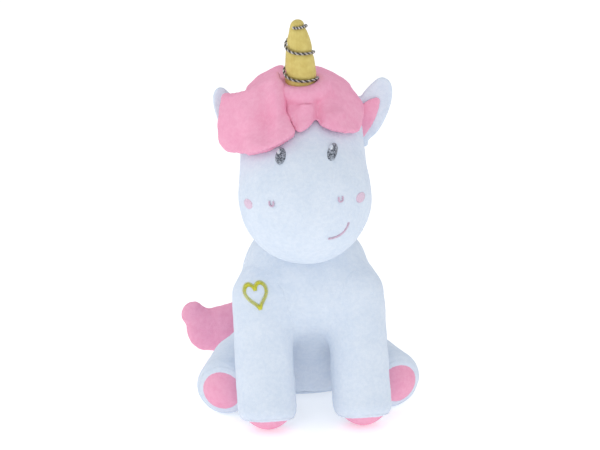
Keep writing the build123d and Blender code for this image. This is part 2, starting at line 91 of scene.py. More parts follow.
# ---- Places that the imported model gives


def joint(name):
    """The joint of that name in the record."""
    return next(j for j in frame["joints"] if j["name"] == name)


def pivot(name):
    """Where a joint turns, as an array in metres."""
    return np.array(joint(name)["pos_m"])


def middle(node):
    """Middle of a CAD node's box."""
    low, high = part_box(node)
    return np.array((low + high) / 2)


def unit(v):
    """The vector at length one."""
    return v / np.linalg.norm(v)


NECK = pivot("neck_nod")
HEAD_X = unit(np.array(joint("neck_nod")["axis"]))
HEAD_Y = unit(np.cross(UP, HEAD_X))
HEAD_Z = np.cross(HEAD_X, HEAD_Y)
SEAT_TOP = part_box("seat_panel")[1].z


def in_head(x, y, z):
    """A point in the head's own frame, in millimetres from the neck ball."""
    return NECK + MM * (x * HEAD_X + y * HEAD_Y + z * HEAD_Z)


def in_head_many(local):
    """Points in the head's own frame, in millimetres, put in their place in metres."""
    return NECK + MM * local @ np.array((HEAD_X, HEAD_Y, HEAD_Z))


def head_local(points):
    """Points in metres, turned into the head's own frame in millimetres."""
    return (points - NECK) @ np.array((HEAD_X, HEAD_Y, HEAD_Z)).T / MM


# ---- Sizes and colours that a user would change


def length(name, description, value):
    """A size in millimetres, kept in metres."""
    return bpy.props.FloatProperty(name=name, description=description, default=value * MM, min=0.0,
                                   unit="LENGTH")


def place(name, description, value):
    """A place in millimetres, kept in metres."""
    return bpy.props.FloatVectorProperty(name=name, description=description, subtype="XYZ",
                                         unit="LENGTH", default=[v * MM for v in value])


def dye(name, description, red, green, blue):
    """A colour given by its 0 to 255 values."""
    return bpy.props.FloatVectorProperty(name=name, description=description, subtype="COLOR",
                                         min=0.0, max=1.0, default=linear(red, green, blue))


class PlushBodySizes(bpy.types.PropertyGroup):
    belly: place("Belly", "Middle of the belly ball", (0.0, 2.0, 46.0))
    belly_radius: length("Belly radius", "Radius of the belly ball", 55.0)
    chest: place("Chest", "Middle of the chest ball", (0.0, -40.0, 99.0))
    chest_radius: length("Chest radius", "Radius of the chest ball", 40.0)
    collar: place("Collar", "Top of the shoulders under the head", (-1.5, -38.0, 117.0))
    collar_radius: length("Collar radius", "Radius of the shoulders at the collar", 37.3)
    mound: place("Shoulder mound", "Middle of the mound over the left shoulder", (12.5, -43.0, 110.5))
    mound_radius: length("Mound radius", "Radius of the mound over each shoulder", 34.5)
    front_radius: length("Front leg radius", "Radius of a front leg at the shoulder", 21.5)
    front_shift: length("Shoulder shift", "How far the shoulders sit to the toy's right", 2.7)
    front_foot: length("Front foot radius", "Radius of a front leg above its sole", 22.4)
    hind_radius: length("Hind leg radius", "Radius of a hind leg at the hip", 22.5)
    hind_foot: length("Hind foot radius", "Radius of a hind leg above its sole", 21.5)
    foot_rim: length("Foot rim", "Roundness of the rim round a sole", 10.0)
    shoulder_fold: length("Shoulder fold", "How softly a front leg runs into the chest", 13.0)
    hip_fold: length("Hip fold", "How softly a hind leg runs into the belly", 12.0)
    seat_slope: bpy.props.FloatProperty(name="Seat slope", description="Rise of the belly's front edge",
                                        default=0.34, min=0.0)
    seam_width: length("Seam width", "Half width of the groove along a seam", 1.1)
    seam_depth: length("Seam depth", "Depth of the groove along a seam", 0.7)


class PlushHeadSizes(bpy.types.PropertyGroup):
    skull_radius: length("Skull radius", "Radius of the skull ball", 45.5)
    muzzle_radius: length("Muzzle radius", "Radius of the muzzle ball", 47.5)
    chin: place("Chin", "Middle of the chin ball, from the neck ball along the head", (0.5, -45.0, 44.5))
    chin_radius: length("Chin radius", "Radius of the chin ball", 44.5)
    nape_radius: length("Nape radius", "Radius of the nape under the skull", 34.0)
    nape_fold: length("Nape fold", "How softly the nape runs into the head", 14.0)
    horn_radius: length("Horn radius", "Radius of the horn at its root", 13.0)
    horn_length: length("Horn length", "Length of the horn from its pivot", 60.0)
    horn_lean: bpy.props.FloatProperty(name="Horn lean", description="Forward lean of the horn",
                                       default=radians(14.0), subtype="ANGLE")
    cord_radius: length("Horn cord radius", "Radius of the cord wound on the horn", 0.9)


class PlushColours(bpy.types.PropertyGroup):
    # The white and pink plush each have a lit tone and a tone of painted shade, which the shader lays between
    # the tufts.
    white: dye("White plush", "Short-pile cloth of the body and the head", 227, 235, 246)
    white_shade: dye("White plush shade", "The same cloth between the tufts", 210, 222, 238)
    pink: dye("Pink plush", "Cloth of the mane, the tail and the soles", 245, 180, 205)
    pink_shade: dye("Pink plush shade", "The same cloth between the tufts", 236, 158, 189)
    # The horn cloth has a lit tone and a tone of painted shade, which the shader lays between its threads.
    gold: dye("Horn cloth", "Gold satin of the horn", 222, 206, 128)
    gold_shade: dye("Horn cloth shade", "Gold satin between its threads", 200, 178, 96)
    cord: dye("Horn cord", "Metallic cord of the horn", 176, 172, 168)
    grey: dye("Eye thread", "Grey silver thread of the eyes", 186, 194, 206)
    grey_shade: dye("Eye thread shade", "Dark thread of the eyes", 66, 74, 88)
    glint: dye("Glint thread", "White thread of the glints", 246, 248, 252)
    yellow: dye("Heart thread", "Yellow thread of the heart", 222, 220, 52)
    lilac: dye("Nostril thread", "Lilac pink thread of the nostrils and mouth", 222, 194, 216)
    blush: dye("Cheek thread", "Soft pink of the cheeks", 232, 206, 226)


# ---- Shader building


class Wire:
    """A number socket that maths can be written with."""

    def __init__(self, tree, socket):
        self.tree, self.socket = tree, socket

    def math(self, operation, first, second):
        node = self.tree.nodes.new("ShaderNodeMath")
        node.operation = operation
        for socket, value in zip(node.inputs, (first, second)):
            if isinstance(value, Wire):
                self.tree.links.new(value.socket, socket)
            else:
                socket.default_value = value
        return Wire(self.tree, node.outputs[0])

    def __add__(self, other):
        return self.math("ADD", self, other)

    def __rsub__(self, other):
        return self.math("SUBTRACT", other, self)

    def __mul__(self, other):
        return self.math("MULTIPLY", self, other)

    __radd__ = __add__
    __rmul__ = __mul__


class Cloth:
    """One material and the nodes that make it."""

    def __init__(self, name):
        self.material = bpy.data.materials.new(f"sewn_{name}")
        self.material.use_nodes = True
        self.tree = self.material.node_tree
        self.shader = next(n for n in self.tree.nodes if n.type == "BSDF_PRINCIPLED")

    def node(self, kind, settings=None, inputs=None, output=0):
        """A node of a type, with its settings, then its inputs as values or links."""
        node = self.tree.nodes.new(kind)
        for name, value in (settings or {}).items():
            setattr(node, name, value)
        for name, value in (inputs or {}).items():
            if isinstance(value, Wire):
                self.tree.links.new(value.socket, node.inputs[name])
            else:
                node.inputs[name].default_value = value
        return Wire(self.tree, node.outputs[output])

    def place(self):
        """Object coordinates."""
        return self.node("ShaderNodeTexCoord", output="Object")

    def noise(self, scale, detail=2.0, rough=0.5, vector=None):
        """Noise of a scale per metre."""
        inputs = {"Vector": vector or self.place(), "Scale": scale, "Detail": detail, "Roughness": rough}
        return self.node("ShaderNodeTexNoise", {}, inputs)

    def ramp(self, factor, low, high):
        """The factor stretched from low..high to 0..1, softly."""
        return self.node("ShaderNodeMapRange", {"interpolation_type": "SMOOTHSTEP"},
                         {"Value": factor, "From Min": low, "From Max": high})

    def mix(self, factor, first, second):
        """Two colours mixed by a factor."""
        return self.node("ShaderNodeMix", {"data_type": "RGBA"},
                         {0: factor, 6: tuple(first) + (1.0,) if not isinstance(first, Wire) else first,
                          7: tuple(second) + (1.0,)}, output=2)

    def feed(self, **links):
        """Links or values for the shader's sockets."""
        for name, value in links.items():
            socket = self.shader.inputs[name.replace("_", " ")]
            if isinstance(value, Wire):
                self.tree.links.new(value.socket, socket)
            else:
                socket.default_value = value

    def bump(self, height, distance, strength):
        """Bump from a height of 0 to 1."""
        self.feed(Normal=self.node("ShaderNodeBump", {}, {"Height": height, "Distance": distance,
                                                          "Strength": strength}))


def plush(name, light, shade, sheen):
    """Short-pile plush: fine tufts, soft brushed patches, painted shade between the tufts and a pale sheen at
    the edges.
    """
    cloth = Cloth(name)
    tufts = cloth.noise(1500.0, 3.0, 0.6)
    clumps = cloth.noise(330.0, 3.0, 0.55)
    brushed = cloth.noise(55.0, 2.0, 0.5)
    height = 0.55 * tufts + 0.45 * clumps
    # Painted shade: the shade colour where the tufts and clumps sit low, the light colour on their tops; the
    # brushed patches add a random tone.
    painted_tuft_shade = 0.35 * cloth.ramp(tufts, 0.3, 0.7) + 0.4 * cloth.ramp(clumps, 0.3, 0.7)
    cloth.feed(Base_Color=cloth.mix(painted_tuft_shade + 0.25 * cloth.ramp(brushed, 0.35, 0.65), shade, light))
    cloth.feed(Roughness=0.95, Sheen_Weight=sheen, Sheen_Roughness=0.45, Specular_IOR_Level=0.1)
    cloth.feed(Sheen_Tint=tuple(light) + (1.0,))
    cloth.bump(height, 0.9 * MM, 0.55)
    return cloth.material


def satin_cloth(name, light, shade):
    """Gold satin: fine crossing threads with a soft lustre and painted shade between them."""
    cloth = Cloth(name)
    weft = cloth.node("ShaderNodeTexWave", {"bands_direction": "Z"},
                      {"Vector": cloth.place(), "Scale": 420.0, "Distortion": 2.0, "Detail": 1.0})
    warp = cloth.node("ShaderNodeTexWave", {"bands_direction": "X"},
                      {"Vector": cloth.place(), "Scale": 300.0, "Distortion": 2.0, "Detail": 1.0})
    slubs = cloth.noise(220.0)
    weave = 0.6 * weft + 0.4 * warp
    # Painted shade: the shade colour where the weave sits low between the threads; the slubs add a random tone.
    cloth.feed(Base_Color=cloth.mix(0.5 * weave + 0.5 * cloth.ramp(slubs, 0.3, 0.7), shade, light))
    cloth.feed(Roughness=0.62 - 0.15 * weave, Metallic=0.2, Specular_IOR_Level=0.25)
    cloth.bump(weave, 0.15 * MM, 0.5)
    return cloth.material


def thread(name, light, shade, gloss, metal=0.0):
    """Embroidery thread: a fine twist and a silky gloss."""
    cloth = Cloth(name)
    twist = cloth.noise(2600.0, 2.0, 0.5)
    strands = cloth.noise(900.0, 2.0, 0.5)
    cloth.feed(Base_Color=cloth.mix(cloth.ramp(strands, 0.4, 0.6), shade, light))
    cloth.feed(Roughness=gloss + 0.12 * twist, Metallic=metal, Sheen_Weight=0.2)
    cloth.bump(twist, 0.1 * MM, 0.4)
    return cloth.material


def paper(name, colour):
    """Matt pale studio paper with a faint grain."""
    cloth = Cloth(name)
    grain = cloth.noise(60.0)
    cloth.feed(Base_Color=cloth.mix(grain, [0.985 * c for c in colour], colour), Roughness=0.9)
    cloth.feed(Emission_Color=(1.0, 1.0, 1.0, 1.0), Emission_Strength=0.32)
    return cloth.material


# ---- Shapes of the stuffed pieces, as distances in metres from their skin


def ball(p, centre, radius):
    """Distance from a ball."""
    return np.linalg.norm(p - centre, axis=1) - radius


def taper(p, a, b, ra, rb):
    """Distance from the hull of two balls."""
    along = b - a
    span = np.linalg.norm(along)
    along = along / span
    q = p - a
    height = q @ along
    out = np.linalg.norm(q - np.outer(height, along), axis=1)
    slope = (ra - rb) / span
    foot = np.clip((height + out * slope / np.sqrt(1 - slope**2)) / span, 0, 1)
    return np.linalg.norm(q - np.outer(foot * span, along), axis=1) - (ra + (rb - ra) * foot)


def soft_union(first, second, fold):
    """Two distances joined with a soft fold between them."""
    share = np.clip(0.5 + 0.5 * (second - first) / fold, 0, 1)
    return second * (1 - share) + first * share - fold * share * (1 - share)


def soft_cut(first, second, fold):
    """What is in both shapes, with a rounded edge."""
    return -soft_union(-first, -second, fold)


SIDES = {"left": 1.0, "right": -1.0}
SOLE_OVERLAP = 2.4 * MM     # how far a sole's edge covers the end of its leg's skin
SOLE_THICKER = 1.2     # how much deeper a sole reaches than its CAD solid, as a share
COLLAR_FOLD, MOUND_FOLD = 16 * MM, 10 * MM     # how softly the collar and the shoulder mounds join


class Limb:
    """One leg: where it turns, where its sole is, and its shape."""

    def __init__(self, end, side, sizes):
        front = end == "front"
        self.name = f"{end}_leg_{side}"
        self.swing = f"{self.name}_{'swing' if front else 'splay'}"
        self.sole_node = f"{end}_sole_{side}"
        self.root = pivot(self.swing)
        self.radius = sizes.front_radius if front else sizes.hind_radius
        self.foot_radius = sizes.front_foot if front else sizes.hind_foot
        self.fold = sizes.shoulder_fold if front else sizes.hip_fold
        self.rim = sizes.foot_rim
        self.top = self.root - LEFT * (sizes.front_shift if front else 0.0)
        self.sole = middle(self.sole_node)
        self.way = unit(self.sole - self.root)
        self.reach = float((self.sole - self.root) @ self.way)

    def shape(self, p):
        """Distance from the leg: a tapered tube cut flat and rounded at the sole."""
        beyond = self.root + self.way * (self.reach + self.foot_radius)
        tube = taper(p, self.top, beyond, self.radius, self.foot_radius)
        end = (p - self.root) @ self.way - (self.reach - SOLE_OVERLAP)
        return soft_cut(tube, end, self.rim)


def limbs(sizes):
    """All four legs."""
    return [Limb(end, side, sizes) for end in ("front", "hind") for side in SIDES]


def mound_places(sizes):
    """Middles of the two shoulder mounds, shifted as the shoulders are."""
    mound, shift = np.array(sizes.mound), LEFT * sizes.front_shift
    return mound - shift, mound * np.array((-1.0, 1.0, 1.0)) - shift


def trunk(p, sizes):
    """Distance from the pear of the body with its collar, without the seat."""
    belly, chest = np.array(sizes.belly), np.array(sizes.chest)
    pear = taper(p, belly, chest, sizes.belly_radius, sizes.chest_radius)
    collar = taper(p, chest, np.array(sizes.collar), sizes.chest_radius, sizes.collar_radius)
    left, right = mound_places(sizes)
    mounds = taper(p, left, right, sizes.mound_radius, sizes.mound_radius)
    return soft_union(soft_union(pear, collar, COLLAR_FOLD), mounds, MOUND_FOLD)


CROWN_LINE, FACE_LINE = -6, -42     # how far ahead of the neck ball the skull's and muzzle's middles sit
CHIN_FOLD, NAPE_RIM = 10 * MM, 8 * MM     # how softly the chin joins and the nape's lower edge rounds
NAPE_END = 9 * MM     # height of the nape's lower edge over the neck ball


def head_ball(p, sizes):
    """Distance from the skull, the muzzle and the nape together."""
    skull, muzzle = in_head(0, CROWN_LINE, 84), in_head(0, FACE_LINE, 48)
    face = taper(p, skull, muzzle, sizes.skull_radius, sizes.muzzle_radius)
    chin = ball(p, NECK + np.array(sizes.chin) @ np.array((HEAD_X, HEAD_Y, HEAD_Z)), sizes.chin_radius)
    face = soft_union(face, chin, CHIN_FOLD)
    nape = taper(p, in_head(0, CROWN_LINE, 34), in_head(0, CROWN_LINE, 62), sizes.nape_radius,
                 sizes.nape_radius + 2 * MM)
    nape = soft_cut(nape, NAPE_END - (p - NECK) @ HEAD_Z, NAPE_RIM)
    return soft_union(face, nape, sizes.nape_fold)


# ---- Mesh tools


def only(piece):
    """Select one object and make it active."""
    bpy.ops.object.select_all(action="DESELECT")
    piece.select_set(True)
    bpy.context.view_layer.objects.active = piece
    return piece


def finish_modifier(piece, kind, **settings):
    """Add a modifier, set it and apply it."""
    only(piece)
    modifier = piece.modifiers.new(kind.title(), kind)
    for name, value in settings.items():
        setattr(modifier, name, value)
    bpy.ops.object.modifier_apply(modifier=modifier.name)


def remesh(piece, grain):
    """Even small faces of one size."""
    finish_modifier(piece, "REMESH", mode="VOXEL", voxel_size=grain * MM)


def relax(piece, times, factor=0.5):
    """Soften a mesh."""
    finish_modifier(piece, "SMOOTH", factor=factor, iterations=times)


def points_of(piece):
    """A mesh's points as an array."""
    co = np.empty(len(piece.data.vertices) * 3)
    piece.data.vertices.foreach_get("co", co)
    return co.reshape(-1, 3)


def set_points(piece, co):
    """Move a mesh's points."""
    piece.data.vertices.foreach_set("co", co.ravel())
    piece.data.update()


def normals_of(piece):
    """A mesh's normals at its points."""
    out = np.empty(len(piece.data.vertices) * 3)
    piece.data.vertices.foreach_get("normal", out)
    return out.reshape(-1, 3)


def slope_of(shape, p, step=0.1 * MM):
    """Which way a distance grows, at each point."""
    return np.stack([shape(p + step * axis) - shape(p - step * axis) for axis in np.eye(3)], 1) / (2 * step)


def settle(piece, shape, times=5):
    """Bring each point of a mesh onto a shape's skin."""
    co = points_of(piece)
    for _ in range(times):
        away, slope = shape(co), slope_of(shape, co)
        co = co - (away / np.maximum((slope**2).sum(1), 0.2))[:, None] * slope
    set_points(piece, co)


def hull(name, balls, segments=32):
    """The hull of some balls, given as (centre, radius), as a mesh of its own."""
    bpy.ops.object.select_all(action="DESELECT")
    centre, radius = balls[0]
    bpy.ops.mesh.primitive_uv_sphere_add(segments=segments, ring_count=segments // 2, radius=radius,
                                         location=centre, enter_editmode=True)
    for centre, radius in balls[1:]:
        bpy.ops.mesh.primitive_uv_sphere_add(segments=segments, ring_count=segments // 2, radius=radius,
                                             location=centre)
    bpy.ops.mesh.select_all(action="SELECT")
    bpy.ops.mesh.convex_hull()
    bpy.ops.object.mode_set(mode="OBJECT")
    piece = bpy.context.active_object
    piece.name = piece.data.name = name
    bpy.ops.object.transform_apply(location=True, rotation=True, scale=True)
    return piece


def join(pieces):
    """Several objects made one, under the first one's name."""
    bpy.ops.object.select_all(action="DESELECT")
    for piece in pieces:
        piece.select_set(True)
    bpy.context.view_layer.objects.active = pieces[0]
    bpy.ops.object.join()
    return pieces[0]


def skin_of(name, node):
    """A copy of a CAD node's outer shell, without its inner wall."""
    twin = frame["nodes"][node].copy()
    twin.data = twin.data.copy()
    twin.parent = None
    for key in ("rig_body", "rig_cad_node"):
        del twin[key]
    bpy.context.scene.collection.objects.link(twin)
    twin.hide_render = twin.hide_viewport = False
    twin.name = twin.data.name = name
    only(twin)
    bpy.ops.object.mode_set(mode="EDIT")
    bpy.ops.mesh.select_all(action="SELECT")
    bpy.ops.mesh.remove_doubles(threshold=0.002 * MM)
    bpy.ops.mesh.separate(type="LOOSE")
    bpy.ops.object.mode_set(mode="OBJECT")
    shells = sorted(bpy.context.selected_objects, key=lambda shell: shell.dimensions.length)
    for shell in shells[:-1]:
        bpy.data.objects.remove(shell)
    shells[-1].name = shells[-1].data.name = name
    return shells[-1]


def groove(piece, distance, width, depth):
    """Press a seam into a skin where a distance is near zero."""
    co = points_of(piece)
    press = np.exp(-(distance(co) / width) ** 2) * depth
    set_points(piece, co - press[:, None] * normals_of(piece))


def ripple(piece, scale, height, seed=0.0):
    """Soft uneven stuffing: a sum of slow waves along the skin's normal."""
    co = points_of(piece)
    waves = np.zeros(len(co))
    for turn in range(5):
        way = np.array((cos(2.4 * turn + seed), sin(2.4 * turn + seed), cos(1.7 * turn + 2 * seed)))
        waves += np.sin(co @ way * (2 * pi / (scale * MM)) * (1 + 0.23 * turn) + 1.9 * turn + seed)
    set_points(piece, co + (waves * height * MM / 5)[:, None] * normals_of(piece))


def nap(piece, height=0.1):
    """Finer faces with an uneven pile."""
    finish_modifier(piece, "SUBSURF", levels=1, render_levels=1)
    pile = np.random.default_rng(len(piece.data.vertices)).uniform(-1, 1, len(piece.data.vertices))
    set_points(piece, points_of(piece) + (pile * height * MM)[:, None] * normals_of(piece))


STUFFING_FRAMES = 15     # frames that the cloth simulation runs for


def swell(piece, pressure, cap):
    """Stuff a closed skin by cloth simulation, with no point moving more than cap millimetres."""
    before = points_of(piece)
    only(piece)
    modifier = piece.modifiers.new("Stuffing", "CLOTH")
    modifier.settings.use_pressure = True
    modifier.settings.uniform_pressure_force = pressure
    modifier.settings.effector_weights.gravity = 0.0
    scene = bpy.context.scene
    for number in range(1, STUFFING_FRAMES + 1):
        scene.frame_set(number)
    bpy.ops.object.modifier_apply(modifier=modifier.name)
    scene.frame_set(1)
    move = points_of(piece) - before
    far = np.linalg.norm(move, axis=1, keepdims=True)
    set_points(piece, before + move * np.minimum(1.0, cap * MM / np.maximum(far, 1e-9)))


def dress(piece, material, smooth=True):
    """Give a piece its material and smooth shading."""
    piece.data.materials.clear()
    piece.data.materials.append(bpy.data.materials[f"sewn_{material}"])
    for face in piece.data.polygons:
        face.material_index = 0
    only(piece)
    if smooth:
        bpy.ops.object.shade_smooth()
    return piece


def tubes(name, lines, radius, sides=6):
    """Thin threads along lines of points, as one mesh with closed ends."""
    points, faces = [], []
    for line in lines:
        line = np.array(line)
        ways = np.gradient(line, axis=0)
        ways /= np.linalg.norm(ways, axis=1, keepdims=True)
        side = unit(np.cross(ways[0], (0.31, 0.52, 0.79)))
        start = len(points)
        for centre, way in zip(line, ways):
            side = unit(side - way * (side @ way))
            other = np.cross(way, side)
            for step in range(sides):
                angle = 2 * pi * step / sides
                points.append(centre + radius * (cos(angle) * side + sin(angle) * other))
        for ring in range(len(line) - 1):
            for step in range(sides):
                a, b = start + ring * sides + step, start + ring * sides + (step + 1) % sides
                faces.append((a, b, b + sides, a + sides))
        last = start + (len(line) - 1) * sides
        faces.append(tuple(start + step for step in reversed(range(sides))))
        faces.append(tuple(last + step for step in range(sides)))
    mesh = bpy.data.meshes.new(name)
    mesh.from_pydata([tuple(p) for p in points], [], faces)
    mesh.update()
    piece = bpy.data.objects.new(name, mesh)
    bpy.context.scene.collection.objects.link(piece)
    return piece


def onto(shape, starts, way, reach=0.2, steps=120, stride=0.9):
    """Follow a direction from outside until a shape's skin is met."""
    p = np.array(starts) - way * reach
    for _ in range(steps):
        p = p + way * np.maximum(shape(p), 0)[:, None] * stride
    return p


def satin(name, rungs, shape, way, lift, radius, steps=7):
    """Satin stitch: one thread laid over each rung, given as its two end points."""
    lines = []
    for start, end in rungs:
        share = np.linspace(0, 1, steps)[:, None]
        base = onto(shape, start + (end - start) * share, way)
        out = slope_of(shape, base)
        rise = lift * np.sqrt(np.maximum(0, 1 - (2 * share - 1) ** 2))
        lines.append(base + out * rise)
    return tubes(name, lines, radius)


def ride_on(piece, body, *nodes):
    """The piece moves with a body and stands for its CAD nodes."""
    if nodes:
        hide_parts(*nodes)
    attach(piece, body)


# ---- Operators


class PLUSH_OT_camera(bpy.types.Operator):
    """Place the camera in front of the toy, a little above it and to its right"""
    bl_idname = "plush.camera"
    bl_label = "Camera"

    def execute(self, context):
        bpy.ops.object.select_all(action="DESELECT")
        turn, lift, away = radians(-7.0), radians(15.0), 1.3
        out = Vector((sin(turn) * cos(lift), -cos(turn) * cos(lift), sin(lift)))
        aim = Vector((-8.3, -58.0, 150.2)) * MM
        bpy.ops.object.camera_add(location=aim + out * away)
        camera = context.active_object
        camera.rotation_euler = (-out).to_track_quat("-Z", "Y").to_euler()
        camera.data.lens, camera.data.sensor_width = 104.4, 36.0
        context.scene.camera = camera
        return {"FINISHED"}


class PLUSH_OT_stage(bpy.types.Operator):
    """Lay out white paper under and behind the toy and light it softly from all sides"""
    bl_idname = "plush.stage"
    bl_label = "Paper and lights"

    def execute(self, context):
        bpy.ops.object.select_all(action="DESELECT")
        bpy.ops.mesh.primitive_plane_add(size=40.0, location=(0, 0, -0.0004), enter_editmode=True)
        bpy.ops.mesh.subdivide(number_cuts=3)
        bpy.ops.object.mode_set(mode="OBJECT")
        floor = context.active_object
        floor.name = "paper_floor"
        floor.data.materials.append(paper("white_paper", linear(255, 255, 255)))
        world = bpy.data.worlds.new("studio")
        context.scene.world = world
        world.use_nodes = True
        background = world.node_tree.nodes["Background"]
        background.inputs["Color"].default_value = (0.97, 0.985, 1.0, 1.0)
        background.inputs["Strength"].default_value = 0.78
        lamps = (("key", (-0.5, -1.5, 1.5), 1.2, 4.0), ("fill", (1.2, -1.0, 0.7), 1.0, 0.4),
                 ("side", (-1.4, 0.1, 0.6), 1.0, 2.0))
        for name, spot, size, power in lamps:
            bpy.ops.object.light_add(type="AREA", location=spot)
            lamp = context.active_object
            lamp.name, lamp.data.size, lamp.data.energy = name, size, power
            way = Vector((0, -0.03, 0.12)) - lamp.location
            lamp.rotation_euler = way.to_track_quat("-Z", "Y").to_euler()
        context.scene.view_settings.view_transform = "Standard"
        return {"FINISHED"}


class PLUSH_OT_cloths(bpy.types.Operator):
    """Mix the plush, satin and thread materials"""
    bl_idname = "plush.cloths"
    bl_label = "Cloths and threads"

    def execute(self, context):
        dyes = context.scene.plush_colours
        plush("white_plush", dyes.white, dyes.white_shade, 0.2)
        plush("pink_plush", dyes.pink, dyes.pink_shade, 0.15)
        satin_cloth("gold_satin", dyes.gold, dyes.gold_shade)
        thread("metallic_cord", [0.25 * c for c in dyes.cord], [0.12 * c for c in dyes.cord], 0.3, 0.7)
        thread("bright_cord", [1.6 * c for c in dyes.cord], dyes.cord, 0.25, 0.7)
        thread("grey_thread", dyes.grey, dyes.grey_shade, 0.3, 0.4)
        thread("white_thread", dyes.glint, dyes.white_shade, 0.35)
        thread("yellow_thread", dyes.yellow, [0.75 * c for c in dyes.yellow], 0.35)
        thread("lilac_thread", dyes.lilac, [0.85 * c for c in dyes.lilac], 0.4)
        thread("cheek_thread", dyes.blush, [0.92 * c for c in dyes.blush], 0.6)
        return {"FINISHED"}


SLOPE_START = -10 * MM     # where the seat starts to rise toward the belly's front edge
SEAT_FRONT = 0.35     # share of the seat's length ahead of there that stays flat


class PLUSH_OT_body(bpy.types.Operator):
    """Sew the body skin with its collar and flat seat"""
    bl_idname = "plush.body"
    bl_label = "Body"

    def execute(self, context):
        sizes = context.scene.plush_body
        legs = limbs(sizes)
        overlap = 1.5 * MM

        def whole(p):
            away = trunk(p, sizes)
            for leg in legs:
                away = soft_union(away, leg.shape(p), leg.fold)
            return away

        def skin(p):
            ends = np.maximum(whole(p) + 0.12 * MM, trunk(p, sizes) - sizes.shoulder_fold / 4 - overlap)
            lifted = SEAT_TOP - 2.0 * MM + sizes.seat_slope * np.maximum(SLOPE_START - p[:, 1], 0)
            return soft_cut(ends, lifted - p[:, 2], 4 * MM)

        belly, chest, collar = (Vector(v) for v in (sizes.belly, sizes.chest, sizes.collar))
        margin = sizes.shoulder_fold / 4 + overlap
        body = hull("body_skin", [(belly, sizes.belly_radius + margin), (chest, sizes.chest_radius + margin)])
        top = hull("collar", [(chest, sizes.chest_radius + margin), (collar, sizes.collar_radius + margin)])
        mounds = hull("mounds", [(Vector(spot), sizes.mound_radius + margin) for spot in mound_places(sizes)])
        join([body, top, mounds])
        remesh(body, 2.2)
        settle(body, skin)
        groove(body, lambda p: p[:, 0], sizes.seam_width, sizes.seam_depth)
        ripple(body, 46.0, 0.5)
        nap(body)
        dress(body, "white_plush")
        ride_on(body, "torso", "body_panel_left", "body_panel_right", "body_filling")

        seat = skin_of("seat_skin", "seat_panel")
        co = points_of(seat)
        ahead = np.minimum(co[:, 1] - SLOPE_START, 0)
        co[:, 1] -= (1 - SEAT_FRONT) * ahead
        set_points(seat, co)
        remesh(seat, 1.0)
        relax(seat, 4)
        dress(seat, "white_plush")
        ride_on(seat, "torso", "seat_panel")

        neck = hull("neck_skin", [(NECK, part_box("neck_filling")[1].x - 0.3 * MM),
                                  (NECK + 0.5 * MM * UP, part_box("neck_filling")[1].x - 0.3 * MM)])
        remesh(neck, 2.5)
        ripple(neck, 30.0, 0.3)
        nap(neck)
        dress(neck, "white_plush")
        ride_on(neck, "neck", "neck_filling")
        return {"FINISHED"}


class PLUSH_OT_legs(bpy.types.Operator):
    """Sew the four legs and their pink soles"""
    bl_idname = "plush.legs"
    bl_label = "Legs and soles"

    def execute(self, context):
        sizes = context.scene.plush_body
        for number, leg in enumerate(limbs(sizes)):
            edge = leg.fold / 4

            def skin(p):
                whole = soft_union(trunk(p, sizes), leg.shape(p), leg.fold)
                return np.maximum(whole, leg.shape(p) - edge)

            root, foot = Vector(leg.root), Vector(leg.root + leg.way * leg.reach)
            piece = hull(f"{leg.name}_skin", [(root, leg.radius + edge), (foot, leg.foot_radius)])
            remesh(piece, 2.0)
            settle(piece, skin)
            swell(piece, 1.5, 1.2)
            ripple(piece, 34.0, 0.45, 1.3 * number)
            nap(piece)
            dress(piece, "white_plush")
            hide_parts(f"{leg.name.replace('_leg_', '_leg_cover_')}",
                        f"{leg.name.replace('_leg_', '_leg_filling_')}")
            leg.root - leg.way * 6 * MM
            leg.root + leg.way * 34 * MM
            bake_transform(piece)

            sole = skin_of(f"{leg.sole_node}_cloth", leg.sole_node)
            co = points_of(sole)
            depth = (co - leg.sole) @ leg.way
            deep = np.minimum(depth - depth.max(), 0.0)
            out = (co - leg.sole) - depth[:, None] * leg.way
            wider = 0.03 if leg.name.startswith("front") else 0.08
            set_points(sole, co + (deep * SOLE_THICKER)[:, None] * leg.way + wider * out)
            remesh(sole, 1.0)
            relax(sole, 4)
            nap(sole, 0.06)
            dress(sole, "pink_plush")
            ride_on(sole, leg.name, leg.sole_node)
        return {"FINISHED"}


class PLUSH_OT_head(bpy.types.Operator):
    """Sew the head skin with its seam from ear to ear"""
    bl_idname = "plush.head"
    bl_label = "Head"

    def execute(self, context):
        sizes = context.scene.plush_head
        seams = context.scene.plush_body
        head = hull("head_skin", [(Vector(in_head(0, CROWN_LINE, 84)), sizes.skull_radius + MM),
                                  (Vector(in_head(0, FACE_LINE, 44)), sizes.muzzle_radius + 2 * MM)])
        nape = hull("nape", [(Vector(in_head(0, CROWN_LINE, 36)), sizes.nape_radius),
                             (Vector(in_head(0, CROWN_LINE, 62)), sizes.nape_radius)])
        join([head, nape])
        remesh(head, 2.2)
        settle(head, lambda p: head_ball(p, sizes))
        groove(head, lambda p: (p - in_head(0, CROWN_LINE, 0)) @ HEAD_Y, seams.seam_width, seams.seam_depth)
        ripple(head, 52.0, 0.5, 0.7)
        nap(head)
        dress(head, "white_plush")
        ride_on(head, "head", "head_front", "head_back", "head_filling")
        return {"FINISHED"}


EAR_ROOT = 43.0     # millimetres from the head's middle to an ear's inner edge
EAR_LOW, LINING_LOW = 79.0, 84.0     # millimetres from the neck ball up to an ear's and a lining's foot
EAR_TALLER = 1.06     # an ear's height against its CAD height


